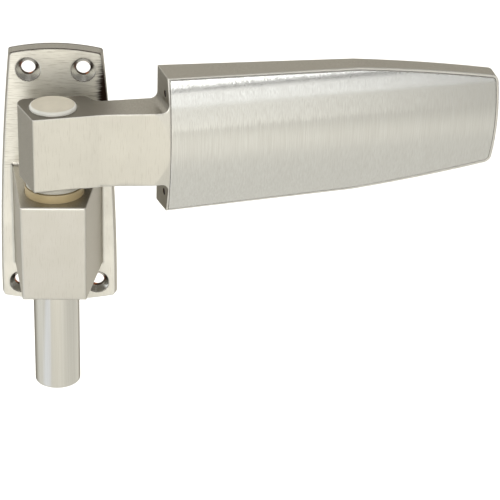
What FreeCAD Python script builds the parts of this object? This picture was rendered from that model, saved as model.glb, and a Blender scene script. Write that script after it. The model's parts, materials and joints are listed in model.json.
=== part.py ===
"""Spring-assisted offset hinge for a heavy door.

A jamb flange carries a boss. A spindle turns in the boss, wound by a torsion spring in the tube
below it. A strap with a covered tray is keyed to the spindle and climbs two nylon cams as it opens.

Frame, in millimetres: the origin is the centre of the flange's back face, +Y points into the wall,
+Z is up along the pin and +X is the side of the strap. The pieces that turn are drawn about the
pin with the strap along +X, and placed with the strap turned past closed, where the cams seat.
"""
import FreeCAD, Part
import math
import os
from types import SimpleNamespace

import Sketcher
from FreeCAD import Placement, Rotation, Vector

SIZES = {
    # flange plate, seen from the front
    "plate_thick": 5.0,
    "plate_draft": 12.0,
    "plate_top_half": 22.4,
    "plate_low_half": 29.0,
    "plate_corner_up": 66.3,
    "plate_corner_down": 65.4,
    "plate_side_bow": 1250.0,
    "plate_top_bow": 100.0,
    "plate_low_bow": 140.0,
    "plate_corner_round": 1.5,
    # mounting screws, flat heads
    "screw_rise": 57.15,
    "screw_top_half": 13.1,
    "screw_low_half": 19.05,
    "screw_hole": 6.8,
    "screw_head": 11.9,
    "screw_head_angle": 82.0,
    # boss, with the pin's distance from the wall
    "pin_out": 35.5,
    "boss_front": 18.5,
    "boss_top": 7.3,
    "boss_low": 41.3,
    "boss_root_low": 46.0,
    "boss_front_half": 15.3,
    "boss_front_low_half": 15.0,
    "boss_root_half": 21.8,
    "boss_edge_round": 1.0,
    "boss_root_round": 1.5,
    "core_half": 16.5,
    "core_deep": 18.0,
    "core_wall": 5.0,
    "core_rib_half": 4.2,
    # tube, spring and plug
    "tube_radius": 11.1,
    "tube_wall": 1.2,
    "tube_low": 95.0,
    "tube_seat": 16.0,
    "tube_lip": 0.7,
    "plug_inset": 0.8,
    "plug_tall": 9.0,
    "plug_pin_radius": 1.2,
    "plug_pin_rise": 1.9,
    "pilot_deep": 5.0,
    "lock_screw_radius": 2.5,
    "lock_screw_long": 6.0,
    "lock_screw_key": 2.5,
    "spring_wire": 3.2,
    "spring_gap": 0.8,
    "spring_side_gap": 0.7,
    # spindle and its bearing
    "journal_radius": 6.5,
    "bush_wall": 1.6,
    "pilot_radius": 3.5,
    "core_gap": 0.8,
    "collar_gap": 0.9,
    "collar_tall": 6.0,
    "washer_thick": 1.2,
    "square_side": 10.4,
    "spindle_top": 44.0,
    "spindle_nose": 1.0,
    # cams: the strap climbs cam_rise over cam_travel degrees
    "cam_rise": 10.0,
    "cam_travel": 110.0,
    "cam_span": 176.0,
    "cam_bore_gap": 0.7,
    "cam_ramp_radius": 11.0,
    "cam_body_radius": 12.6,
    "cam_collar_radius": 14.0,
    "cam_collar_tall": 4.0,
    "cam_floor": 2.0,
    "cam_seat_deep": 16.8,
    "cam_key_wide": 6.0,
    "cam_key_reach": 13.9,
    "cam_flange_radius": 13.6,
    "cam_flange_thick": 1.9,
    "cam_hub_radius": 11.4,
    "cam_hub_tall": 6.0,
    "cam_hub_key_reach": 13.0,
    # knuckle and arm of the strap, about the pin
    "rest_turn": 10.4,
    "knuckle_low": 13.8,
    "knuckle_top": 50.2,
    "knuckle_front": 14.1,
    "knuckle_lean": 0.044,
    "knuckle_back": 12.6,
    "knuckle_left": 11.3,
    "knuckle_left_back": 15.7,
    "knuckle_heel": 6.3,
    "knuckle_heel_in": 12.4,
    "knuckle_heel_bow": 7.0,
    "knuckle_edge_round": 1.0,
    "neck_start": 13.5,
    "neck_end": 24.0,
    "waist_start": 19.5,
    "waist_end": 29.5,
    "waist_bow": 70.0,
    "arm_front": 13.45,
    "arm_flare": 0.13,
    "arm_round": 3.5,
    "arm_bevel_up": 1.6,
    "arm_bevel_in": 0.5,
    "cap_radius": 11.0,
    "cap_seat": 4.0,
    "cap_proud": 1.9,
    "cap_round": 1.7,
    "cap_mouth": 0.3,
    # tapered tray of the strap
    "strap_back": 4.4,
    "strap_mid": 32.05,
    "shoulder": 50.0,
    "shoulder_lean": 2.4,
    "taper_start": 145.4,
    "tip": 217.8,
    "tray_half": 34.6,
    "taper_half": 32.4,
    "tip_half": 23.3,
    "taper_bow": 900.0,
    "tip_bow": 240.0,
    "tip_round": 4.0,
    "tray_draft": 1.3,
    "tray_block": 22.0,
    "crown_radius": 112.0,
    "crown_at": 52.0,
    "crown_front": 16.5,
    "crown_tilt": 3.5,
    "floor_thick": 3.0,
    "tray_rim": 1.6,
    "tray_ledge": 1.6,
    # cover and its set screws
    "cover_thick": 1.6,
    "lug_thick": 4.0,
    "lug_wide": 8.0,
    "lug_deep": 9.0,
    "lug_rise": 25.0,
    "set_screw_radius": 1.5,
    "set_screw_out": 8.0,
    "set_screw_long": 7.0,
    "hex_key": 1.5,
    # screws that hold the strap to the door, under the cover
    "door_hole": 6.8,
    "door_pad_radius": 6.5,
    "door_pad_tall": 1.2,
    "door_near": 78.0,
    "door_far": 172.0,
    "door_near_half": 19.05,
    "door_far_half": 12.7,
    # clearances
    "seat_gap": 0.04,
    "running_gap": 0.08,
    "moving_gap": 0.3,
    "cover_gap": 0.22,
}


class Size:
    """A length known both as a number and as the sheet expression that it follows."""

    def __init__(self, text, value):
        self.text = text
        self.value = value

    def __add__(self, other):
        other = as_size(other)
        return Size(f"({self.text} + {other.text})", self.value + other.value)

    def __sub__(self, other):
        other = as_size(other)
        return Size(f"({self.text} - {other.text})", self.value - other.value)

    def __mul__(self, other):
        other = as_size(other)
        return Size(f"({self.text} * {other.text})", self.value * other.value)

    def __truediv__(self, other):
        other = as_size(other)
        return Size(f"({self.text} / {other.text})", self.value / other.value)

    def __neg__(self):
        return Size(f"(-1 * {self.text})", -self.value)


def as_size(number):
    """A plain number as a Size."""
    return number if isinstance(number, Size) else Size(str(number), float(number))


def make_sheet(document):
    """The driving dimensions, one row each, as a sheet and as named Sizes."""
    table = document.addObject("Spreadsheet::Sheet", "dims")
    for row, (name, value) in enumerate(SIZES.items(), start=1):
        table.set(f"A{row}", name)
        table.set(f"B{row}", str(value))
        table.setAlias(f"B{row}", name)
    return SimpleNamespace(**{name: Size(f"dims.{name}", value) for name, value in SIZES.items()})


doc = FreeCAD.newDocument("offset_hinge")
dim = make_sheet(doc)
doc.recompute()

ZERO = as_size(0)
TUBE_BORE = dim.tube_radius - dim.tube_wall
SPRING_OUTER = TUBE_BORE - dim.spring_side_gap
SPRING_INNER = SPRING_OUTER - dim.spring_wire
CORE_RADIUS = SPRING_INNER - dim.core_gap
COLLAR_RADIUS = TUBE_BORE - dim.collar_gap
CAM_BORE = dim.journal_radius + dim.cam_bore_gap
WEB_LOW = dim.tube_seat - dim.boss_low
CAM_SEAT = dim.boss_top - dim.cam_seat_deep
RAMP_LOW = CAM_SEAT + dim.cam_floor
RAMP_TALL = dim.cam_rise * dim.cam_span / dim.cam_travel
COLLAR_TOP = dim.boss_top + dim.cam_collar_tall
COLLAR_BORE = dim.cam_ramp_radius + dim.moving_gap
BUSH_RADIUS = dim.journal_radius + dim.running_gap + dim.bush_wall
SPINDLE_COLLAR_TOP = WEB_LOW - dim.washer_thick - dim.running_gap
SPINDLE_COLLAR_LOW = SPINDLE_COLLAR_TOP - dim.collar_tall
PLUG_LOW = dim.plug_inset - dim.tube_low
PLUG_TOP = PLUG_LOW + dim.plug_tall
LOCK_RISE = dim.tube_seat / 2 - dim.boss_low
FLOOR = dim.strap_back - dim.floor_thick


def bind(thing, prop, size):
    """Tie one property to the sheet."""
    thing.setExpression(prop, as_size(size).text)


def place(thing, x=ZERO, y=ZERO, z=ZERO, turn=None, axis=Vector(0, 0, 1)):
    """Move a piece, and turn it by an angle in degrees about an axis through its own origin."""
    angle = turn.value if turn else 0
    base = Vector(as_size(x).value, as_size(y).value, as_size(z).value)
    thing.Placement = Placement(base, Rotation(axis, angle))
    bind(thing, "Placement.Base.x", x)
    bind(thing, "Placement.Base.y", y)
    bind(thing, "Placement.Base.z", z)
    if turn:
        bind(thing, "Placement.Rotation.Angle", turn)
    return thing


def on_pin(thing):
    """Put a fixed piece that is drawn about the pin in its place."""
    return place(thing, y=-dim.pin_out)


def on_strap(thing):
    """Put a piece that turns with the strap in its place."""
    return place(thing, y=-dim.pin_out, turn=dim.rest_turn)


def make_body(name):
    """A new body, labelled with its node name."""
    body = doc.addObject("PartDesign::Body", name)
    body.Label = name
    return body


def make_sketch(body, name, plane, offset=ZERO):
    """A sketch on one of the body's own planes, moved along the plane's normal."""
    sketch = body.newObject("Sketcher::SketchObject", name)
    planes = [item for item in body.Origin.OriginFeatures if item.Role == plane]
    sketch.AttachmentSupport = [(planes[0], "")]
    sketch.MapMode = "FlatFace"
    bind(sketch, "AttachmentOffset.Base.z", offset)
    return sketch


def pin_point(sketch, edge, end, x, y):
    """Tie a sketch point to its two distances from the origin."""
    for kind, size in (("DistanceX", as_size(x)), ("DistanceY", as_size(y))):
        row = sketch.addConstraint(Sketcher.Constraint(kind, -1, 1, edge, end, size.value))
        sketch.setExpression(f"Constraints[{row}]", size.text)


def draw_outline(sketch, points, bows=None):
    """A closed outline drawn counter-clockwise.

    A side is straight, or an arc where bows gives its radius: it bulges outwards for a positive
    radius and inwards for a negative one.
    """
    bows = bows or {}
    first = sketch.GeometryCount
    count = len(points)
    ends = []
    for side in range(count):
        start = Vector(as_size(points[side][0]).value, as_size(points[side][1]).value, 0)
        stop_at = points[(side + 1) % count]
        stop = Vector(as_size(stop_at[0]).value, as_size(stop_at[1]).value, 0)
        if side not in bows:
            sketch.addGeometry(Part.LineSegment(start, stop), False)
            ends.append((1, 2))
            continue
        radius = abs(bows[side].value)
        chord = stop - start
        sag = radius - math.sqrt(radius**2 - chord.Length**2 / 4)
        outward = Vector(chord.y, -chord.x, 0).normalize()
        bulges = bows[side].value > 0
        middle = (start + stop) / 2 + outward * (sag if bulges else -sag)
        sketch.addGeometry(Part.Arc(start, middle, stop), False)
        ends.append((1, 2) if bulges else (2, 1))
    for side in range(count):
        after = (side + 1) % count
        joint = ("Coincident", first + side, ends[side][1], first + after, ends[after][0])
        sketch.addConstraint(Sketcher.Constraint(*joint))
        pin_point(sketch, first + side, ends[side][0], *points[side])
    for side, bow in bows.items():
        row = sketch.addConstraint(Sketcher.Constraint("Radius", first + side, abs(bow.value)))
        sketch.setExpression(f"Constraints[{row}]", bow.text if bow.value > 0 else (-bow).text)


def draw_circle(sketch, x, y, radius):
    """A circle with a tied centre and radius."""
    centre = Vector(as_size(x).value, as_size(y).value, 0)
    edge = sketch.addGeometry(Part.Circle(centre, Vector(0, 0, 1), radius.value), False)
    pin_point(sketch, edge, 3, x, y)
    row = sketch.addConstraint(Sketcher.Constraint("Radius", edge, radius.value))
    sketch.setExpression(f"Constraints[{row}]", radius.text)


def rectangle(left, right, low, high):
    """The four corners of an upright rectangle, counter-clockwise."""
    return [(left, low), (right, low), (right, high), (left, high)]


def pad(body, name, sketch, length):
    """A straight boss from a sketch, along its normal."""
    feature = body.newObject("PartDesign::Pad", name)
    feature.Profile = sketch
    bind(feature, "Length", length)
    return feature


def pocket(body, name, sketch, length=None, forward=False):
    """A cut against the sketch's normal, or along it where forward is set."""
    feature = body.newObject("PartDesign::Pocket", name)
    feature.Profile = sketch
    feature.Reversed = forward
    if length is None:
        feature.Type = "ThroughAll"
    else:
        bind(feature, "Length", length)
    return feature


def fillet(body, name, base, radius, wanted):
    """Round the edges of the base feature that the test picks."""
    doc.recompute()
    edges = base.Shape.Edges
    names = [f"Edge{row}" for row, edge in enumerate(edges, start=1) if wanted(edge)]
    if not names:
        raise RuntimeError(f"{body.Label}: no edge found for {name}")
    feature = body.newObject("PartDesign::Fillet", name)
    feature.Base = (base, names)
    bind(feature, "Radius", radius)
    return feature


def revolve(name, points, bows=None):
    """A body turned about the vertical axis from its half section of radius and height."""
    body = make_body(name)
    sketch = make_sketch(body, f"{name}_section", "XZ_Plane")
    draw_outline(sketch, points, bows)
    feature = body.newObject("PartDesign::Revolution", f"{name}_turned")
    feature.Profile = sketch
    feature.ReferenceAxis = (sketch, ["V_Axis"])
    return body


def ring(name, inner, outer, low, high):
    """A plain ring about the vertical axis."""
    return revolve(name, rectangle(inner, outer, low, high))


def block(name, left, right, front, back, low, high):
    """A plain box between its six planes."""
    box = doc.addObject("Part::Box", name)
    bind(box, "Length", right - left)
    bind(box, "Width", back - front)
    bind(box, "Height", high - low)
    return place(box, left, front, low)


def combine(kind, name, shapes):
    """A fuse or common of several shapes."""
    result = doc.addObject(f"Part::Multi{kind}", name)
    result.Label = name
    result.Shapes = shapes
    return result


def cut(name, base, tools):
    """The base less all the tools."""
    result = doc.addObject("Part::Cut", name)
    result.Label = name
    result.Base = base
    result.Tool = tools[0] if len(tools) == 1 else combine("Fuse", f"{name}_tools", tools)
    return result


def ends_of(edge):
    """The two end points of an edge, or one for a closed edge."""
    return [vertex.Point for vertex in edge.Vertexes]


def near(number, size):
    """True where a measured number agrees with a size."""
    return abs(number - as_size(size).value) < 0.05


def along(edge, axis):
    """How far the edge's ends lie apart along one axis, as a share of its length."""
    points = ends_of(edge)
    if len(points) < 2:
        return 0
    return abs(getattr(points[0] - points[1], axis)) / edge.Length


def build_flange():
    """Casting: drafted plate with bowed sides, and a splayed boss hollowed from behind."""
    body = make_body("flange")
    outline = make_sketch(body, "plate_outline", "XZ_Plane")
    corners = [
        (-dim.plate_low_half, -dim.plate_corner_down),
        (dim.plate_low_half, -dim.plate_corner_down),
        (dim.plate_top_half, dim.plate_corner_up),
        (-dim.plate_top_half, dim.plate_corner_up),
    ]
    side = dim.plate_side_bow
    draw_outline(outline, corners, {0: dim.plate_low_bow, 1: side, 2: dim.plate_top_bow, 3: side})
    plate = pad(body, "plate", outline, dim.plate_thick)
    bind(plate, "TaperAngle", -dim.plate_draft)
    fillet(body, "plate_corners", plate, dim.plate_corner_round, lambda e: along(e, "y") > 0.7)

    root = make_sketch(body, "boss_root", "XZ_Plane", dim.plate_thick)
    draw_outline(
        root, rectangle(-dim.boss_root_half, dim.boss_root_half, -dim.boss_root_low, dim.boss_top)
    )
    face = make_sketch(body, "boss_face", "XZ_Plane", dim.pin_out + dim.boss_front)
    face_corners = [
        (-dim.boss_front_low_half, -dim.boss_low),
        (dim.boss_front_low_half, -dim.boss_low),
        (dim.boss_front_half, dim.boss_top),
        (-dim.boss_front_half, dim.boss_top),
    ]
    draw_outline(face, face_corners)
    boss = body.newObject("PartDesign::AdditiveLoft", "boss")
    boss.Profile = root
    boss.Sections = [face]
    boss.Ruled = True

    front = -(dim.pin_out + dim.boss_front)
    edges = fillet(
        body,
        "boss_edges",
        boss,
        dim.boss_edge_round,
        lambda e: all(near(p.y, front) for p in ends_of(e)),
    )
    fillet(body, "boss_foot", edges, dim.boss_root_round, on_boss_root)

    seat = make_sketch(body, "tube_seat", "XY_Plane", WEB_LOW)
    draw_circle(seat, ZERO, -dim.pin_out, dim.tube_radius + dim.seat_gap)
    pocket(body, "tube_bore", seat)
    bearing = make_sketch(body, "bush_seat", "XY_Plane", dim.boss_top)
    draw_circle(bearing, ZERO, -dim.pin_out, BUSH_RADIUS + dim.seat_gap)
    pocket(body, "bush_bore", bearing)
    cam = make_sketch(body, "cam_seat", "XY_Plane", dim.boss_top)
    draw_circle(cam, ZERO, -dim.pin_out, dim.cam_body_radius + dim.seat_gap)
    pocket(body, "cam_bore", cam, dim.cam_seat_deep)
    key = make_sketch(body, "cam_key_seat", "XY_Plane", dim.boss_top)
    reach = dim.cam_key_reach + dim.seat_gap
    half = dim.cam_key_wide / 2 + dim.seat_gap
    draw_outline(key, rectangle(-reach, reach, -dim.pin_out - half, half - dim.pin_out))
    pocket(body, "cam_key_slots", key, dim.cam_seat_deep)

    core = make_sketch(body, "core_outline", "XZ_Plane")
    low = dim.core_wall - dim.boss_root_low
    high = dim.boss_top - dim.core_wall
    draw_outline(core, rectangle(dim.core_rib_half, dim.core_half, low, high))
    draw_outline(core, rectangle(-dim.core_half, -dim.core_rib_half, low, high))
    pocket(body, "back_cores", core, dim.core_deep, forward=True)

    lock = make_sketch(body, "lock_screw_centre", "XZ_Plane")
    draw_circle(lock, ZERO, LOCK_RISE, dim.lock_screw_radius + dim.seat_gap)
    pocket(body, "lock_screw_tap", lock, dim.pin_out - dim.tube_radius, forward=True)

    holes = make_sketch(body, "screw_centres", "XZ_Plane", dim.plate_thick)
    for sign in (1, -1):
        draw_circle(holes, dim.screw_top_half * sign, dim.screw_rise, dim.screw_hole / 2)
        draw_circle(holes, dim.screw_low_half * sign, -dim.screw_rise, dim.screw_hole / 2)
    doc.recompute()
    screws = body.newObject("PartDesign::Hole", "screw_holes")
    screws.Profile = holes
    screws.DepthType = "ThroughAll"
    screws.ThreadType = "None"
    bind(screws, "Diameter", dim.screw_hole)
    screws.HoleCutType = "Countersink"
    screws.HoleCutCustomValues = True
    bind(screws, "HoleCutDiameter", dim.screw_head)
    bind(screws, "HoleCutCountersinkAngle", dim.screw_head_angle)
    return body


def on_boss_root(edge):
    """True for the edges where the boss meets the plate's front."""
    points = ends_of(edge)
    inside = all(
        abs(p.x) < dim.boss_root_half.value + 0.1
        and -dim.boss_root_low.value - 0.1 < p.z < dim.boss_top.value + 0.1
        for p in points
    )
    return bool(points) and inside and all(near(p.y, -dim.plate_thick) for p in points)


def backward_rod(name, radius, start, length, z):
    """A cylinder that runs from beside the pin towards the wall."""
    rod = doc.addObject("Part::Cylinder", name)
    bind(rod, "Radius", radius)
    bind(rod, "Height", length)
    return place(rod, y=start, z=z, turn=as_size(-90), axis=Vector(1, 0, 0))


def plug_pin_hole(name):
    """Cross hole for the pin that holds the plug in the tube."""
    radius = dim.plug_pin_radius + dim.seat_gap
    return backward_rod(name, radius, ZERO, dim.tube_radius, PLUG_LOW + dim.plug_pin_rise)


def build_tube():
    """Spring housing, pushed into the boss from below, with an eased lower edge."""
    section = [
        (TUBE_BORE, -dim.tube_low),
        (dim.tube_radius - dim.tube_lip, -dim.tube_low),
        (dim.tube_radius, dim.tube_lip - dim.tube_low),
        (dim.tube_radius, WEB_LOW),
        (TUBE_BORE, WEB_LOW),
    ]
    barrel = revolve("tube_barrel", section, {1: dim.tube_lip})
    return on_pin(cut("spring_tube", barrel, [plug_pin_hole("tube_pin_hole")]))


def build_plug():
    """Plug that closes the tube, holds the spring's lower end and guides the spindle's pilot."""
    radius = TUBE_BORE - dim.seat_gap
    hole = dim.pilot_radius + dim.running_gap
    hole_low = PLUG_TOP - dim.pilot_deep - dim.moving_gap
    section = [
        (ZERO, PLUG_LOW),
        (radius, PLUG_LOW),
        (radius, PLUG_TOP),
        (hole, PLUG_TOP),
        (hole, hole_low),
        (ZERO, hole_low),
    ]
    disc = revolve("plug_disc", section)
    return on_pin(cut("tube_plug", disc, [plug_pin_hole("plug_pin_hole")]))


def build_plug_pin():
    """Cross pin from behind that keeps the plug from turning in the tube."""
    length = dim.tube_radius - dim.plug_pin_radius / 4
    z = PLUG_LOW + dim.plug_pin_rise
    pin = backward_rod("plug_pin", dim.plug_pin_radius, dim.seat_gap, length - dim.seat_gap, z)
    pin.Label = "plug_pin"
    return place(
        pin, y=dim.seat_gap - dim.pin_out, z=z, turn=as_size(-90), axis=Vector(1, 0, 0)
    )


def build_lock_screw():
    """Set screw behind the tube, driven from the flange's back, that locks the tube in the boss."""
    start = dim.tube_radius + dim.seat_gap
    end = start + dim.lock_screw_long
    shank = backward_rod(
        "lock_screw_shank", dim.lock_screw_radius, start, dim.lock_screw_long, LOCK_RISE
    )
    socket = doc.addObject("Part::Prism", "lock_screw_socket")
    socket.Polygon = 6
    bind(socket, "Circumradius", dim.lock_screw_key / 2)
    bind(socket, "Height", dim.lock_screw_key)
    place(
        socket,
        y=end - dim.lock_screw_key,
        z=LOCK_RISE,
        turn=as_size(-90),
        axis=Vector(1, 0, 0),
    )
    return on_pin(cut("tube_lock_screw", shank, [socket]))


def build_spring():
    """Close-wound torsion spring of square wire, standing on the plug under the spindle's collar."""
    body = make_body("torsion_spring")
    section = make_sketch(body, "wire_section", "XZ_Plane")
    wire_top = PLUG_TOP + dim.spring_wire
    draw_outline(section, rectangle(SPRING_INNER, SPRING_OUTER, PLUG_TOP, wire_top))
    coil = body.newObject("PartDesign::AdditiveHelix", "coil")
    coil.Profile = section
    coil.ReferenceAxis = (section, ["V_Axis"])
    coil.Mode = "pitch-height-angle"
    coil.LeftHanded = True
    bind(coil, "Pitch", dim.spring_wire + dim.spring_gap)
    bind(coil, "Height", SPINDLE_COLLAR_LOW - PLUG_TOP - dim.spring_wire - dim.moving_gap)
    return on_pin(body)


def build_bush():
    """Plain bearing of the spindle in the boss."""
    bore = dim.journal_radius + dim.running_gap
    return on_pin(ring("bearing_bush", bore, BUSH_RADIUS, WEB_LOW, CAM_SEAT - dim.seat_gap))


def build_washer():
    """Thrust washer under the web of the boss, over the spindle's collar."""
    bore = dim.journal_radius + dim.moving_gap
    return on_pin(ring("thrust_washer", bore, COLLAR_RADIUS, WEB_LOW - dim.washer_thick, WEB_LOW))


def build_spindle():
    """Spindle: pilot, spring core, collar, journal and a square upper end that drives the strap."""
    pilot_low = PLUG_TOP - dim.pilot_deep
    pilot_top = PLUG_TOP + dim.moving_gap
    section = [
        (ZERO, pilot_low),
        (dim.pilot_radius, pilot_low),
        (dim.pilot_radius, pilot_top),
        (CORE_RADIUS, pilot_top),
        (CORE_RADIUS, SPINDLE_COLLAR_LOW),
        (COLLAR_RADIUS, SPINDLE_COLLAR_LOW),
        (COLLAR_RADIUS, SPINDLE_COLLAR_TOP),
        (dim.journal_radius, SPINDLE_COLLAR_TOP),
        (dim.journal_radius, dim.spindle_top - dim.spindle_nose),
        (dim.journal_radius - dim.spindle_nose, dim.spindle_top),
        (ZERO, dim.spindle_top),
    ]
    body = revolve("spindle", section)
    flats = make_sketch(body, "drive_flats", "XY_Plane", dim.knuckle_low)
    draw_circle(flats, ZERO, ZERO, dim.journal_radius + dim.spindle_nose)
    half = dim.square_side / 2
    draw_outline(flats, rectangle(-half, half, -half, half))
    pocket(body, "drive_square", flats, forward=True)
    return on_strap(body)


def ramp(name, lift, grow, upward, turn):
    """One cam lobe: a left-handed helicoid drawn between two helices, thickened up or down."""
    edges = []
    for end, radius in (("in", CAM_BORE - grow), ("out", dim.cam_ramp_radius + grow)):
        helix = doc.addObject("Part::Helix", f"{name}_{end}")
        helix.LocalCoord = "Left-handed"
        bind(helix, "Pitch", dim.cam_rise * 360 / dim.cam_travel)
        bind(helix, "Height", RAMP_TALL)
        bind(helix, "Radius", radius)
        edges.append(place(helix, z=RAMP_LOW + lift, turn=turn))
    face = doc.addObject("Part::RuledSurface", f"{name}_face")
    face.Curve1 = (edges[0], ["Edge1"])
    face.Curve2 = (edges[1], ["Edge1"])
    face.Orientation = "Forward"
    lobe = doc.addObject("Part::Extrusion", name)
    lobe.Base = face
    lobe.DirMode = "Custom"
    lobe.Dir = Vector(0, 0, 1 if upward else -1)
    lobe.Solid = True
    bind(lobe, "LengthFwd", RAMP_TALL + dim.cam_seat_deep)
    return lobe


def keys(name, reach, low, high):
    """The two keys of a cam, as one bar across it."""
    half = dim.cam_key_wide / 2
    return block(name, -reach, reach, -half, half, low, high)


def build_lower_cam():
    """Cam keyed in the boss: a collar above it and two helical ramps, set to mesh at rest."""
    section = [
        (CAM_BORE, CAM_SEAT),
        (dim.cam_body_radius, CAM_SEAT),
        (dim.cam_body_radius, dim.boss_top),
        (dim.cam_collar_radius, dim.boss_top),
        (dim.cam_collar_radius, COLLAR_TOP),
        (COLLAR_BORE, COLLAR_TOP),
        (COLLAR_BORE, RAMP_LOW),
        (CAM_BORE, RAMP_LOW),
    ]
    cup = revolve("lower_cam_cup", section)
    bar = keys("lower_cam_bar", dim.cam_key_reach, CAM_SEAT, dim.boss_top)
    hollow = ring("lower_cam_hollow", ZERO, dim.cam_body_radius, CAM_SEAT, dim.boss_top)
    tabs = cut("lower_cam_keys", bar, [hollow])
    space = ring("lower_ramp_space", CAM_BORE, COLLAR_BORE + dim.seat_gap, CAM_SEAT, COLLAR_TOP)
    grow = dim.moving_gap * 2
    lobes = [
        ramp(f"lower_ramp_{turn}", ZERO, grow, False, dim.rest_turn + turn) for turn in (0, 180)
    ]
    both = combine("Fuse", "lower_ramps", lobes)
    ramps = combine("Common", "lower_ramps_cut", [both, space])
    return on_pin(combine("Fuse", "lower_cam", [cup, tabs, ramps]))


def build_upper_cam():
    """Cam keyed in the knuckle: a flange under the knuckle and two ramps that ride the lower cam."""
    flange_low = dim.knuckle_low - dim.cam_flange_thick
    hub_top = dim.knuckle_low + dim.cam_hub_tall
    section = [
        (CAM_BORE, flange_low),
        (dim.cam_flange_radius, flange_low),
        (dim.cam_flange_radius, dim.knuckle_low),
        (dim.cam_hub_radius, dim.knuckle_low),
        (dim.cam_hub_radius, hub_top),
        (CAM_BORE, hub_top),
    ]
    hub = revolve("upper_cam_hub", section)
    bar = keys("upper_cam_bar", dim.cam_hub_key_reach, dim.knuckle_low, hub_top)
    hollow = ring("upper_cam_hollow", ZERO, dim.cam_hub_radius, dim.knuckle_low, hub_top)
    tabs = cut("upper_cam_keys", bar, [hollow])
    space = ring(
        "upper_ramp_space",
        CAM_BORE,
        dim.cam_ramp_radius,
        RAMP_LOW,
        flange_low + dim.seat_gap,
    )
    grow = dim.moving_gap * 2
    lobes = [
        ramp(f"upper_ramp_{turn}", dim.moving_gap, grow, True, as_size(turn)) for turn in (0, 180)
    ]
    both = combine("Fuse", "upper_ramps", lobes)
    ramps = combine("Common", "upper_ramps_cut", [both, space])
    return on_strap(combine("Fuse", "upper_cam", [hub, tabs, ramps]))


def tray_outline(sketch, inset, lean=ZERO):
    """The outline of the tray, moved inwards all round: straight, then a bowed taper and tip."""
    left = dim.shoulder + inset + lean
    right = dim.tip - inset
    wide = dim.tray_half - inset
    turn = dim.taper_half - inset
    slim = dim.tip_half - inset
    points = [
        (left, dim.strap_mid - wide),
        (dim.taper_start, dim.strap_mid - turn),
        (right, dim.strap_mid - slim),
        (right, dim.strap_mid + slim),
        (dim.taper_start, dim.strap_mid + turn),
        (left, dim.strap_mid + wide),
    ]
    bow = dim.taper_bow - inset
    draw_outline(sketch, points, {1: bow, 2: dim.tip_bow - inset, 3: bow})


def tray_prism(name, inset, lean, back):
    """An upright prism inside the tray's outline, from the front to a back plane."""
    body = make_body(name)
    outline = make_sketch(body, f"{name}_outline", "XZ_Plane", -back)
    tray_outline(outline, inset, lean)
    solid = pad(body, f"{name}_pad", outline, dim.tray_block)
    fillet(body, f"{name}_tip", solid, dim.tip_round - dim.tray_rim, at_tip)
    return body


def at_tip(edge):
    """True for the two corner edges at the strap's tip."""
    points = ends_of(edge)
    far = all(p.x > dim.door_far.value for p in points)
    return len(points) == 2 and far and along(edge, "y") > 0.9


def at_arm_corner(edge):
    """True for the inner corners between the arm and the tray's shoulder."""
    points = ends_of(edge)
    in_reach = all(dim.neck_end.value < p.x < dim.shoulder.value + 5 for p in points)
    level = all(near(p.z, dim.knuckle_low) or near(p.z, dim.knuckle_top) for p in points)
    return len(points) == 2 and in_reach and level and along(edge, "y") > 0.9


def at_knuckle_front(edge):
    """True for the upright edge at the knuckle's front left."""
    points = ends_of(edge)
    at_left = all(near(p.x, -dim.knuckle_left) for p in points)
    return len(points) == 2 and at_left and along(edge, "z") > 0.9


def build_crown(name, radius):
    """The long cylinder whose front line is the crowned face of the tray, leaning to the tip."""
    body = make_body(name)
    disc = make_sketch(body, f"{name}_disc", "YZ_Plane", -dim.tip / 2)
    draw_circle(disc, dim.crown_radius, ZERO, radius)
    pad(body, f"{name}_rod", disc, dim.tip * 2)
    return place(body, dim.crown_at, -dim.crown_front, dim.strap_mid, turn=dim.crown_tilt)


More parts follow.
